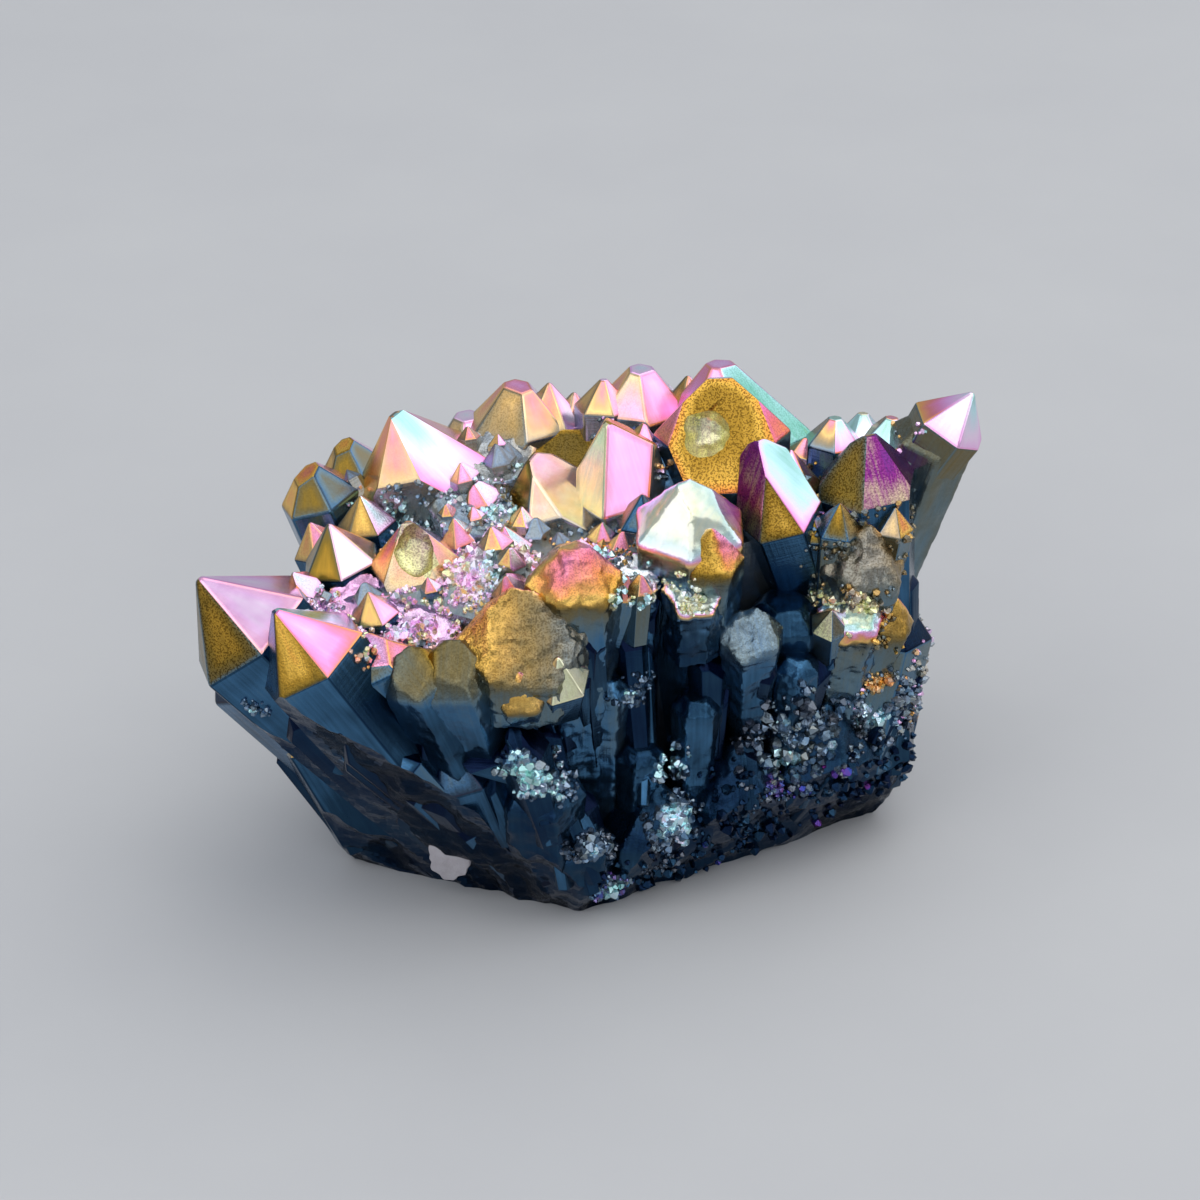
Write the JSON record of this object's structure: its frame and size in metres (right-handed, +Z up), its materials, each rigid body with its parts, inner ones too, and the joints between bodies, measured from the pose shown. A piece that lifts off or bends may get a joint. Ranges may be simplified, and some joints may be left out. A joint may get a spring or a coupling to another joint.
{
  "type": "crystal cluster",
  "caption": "Cluster of pointed quartz crystals fanning from one root, cut flat underneath, with a rainbow metal film.",
  "frame": {"origin": "middle of the bounding box's bottom face, in the plane of the flat cut base", "axes": "+Z up from the flat base, +X towards the single horn-like crystal at the right, -Y towards the front, where the dark column sides show"},
  "size_m": [0.0492, 0.0298, 0.0308],
  "materials": {
    "aura_quartz": "polished"
  },
  "bodies": {
    "root": {"quartz_cluster": "aura_quartz"}
  },
  "joints": []
}
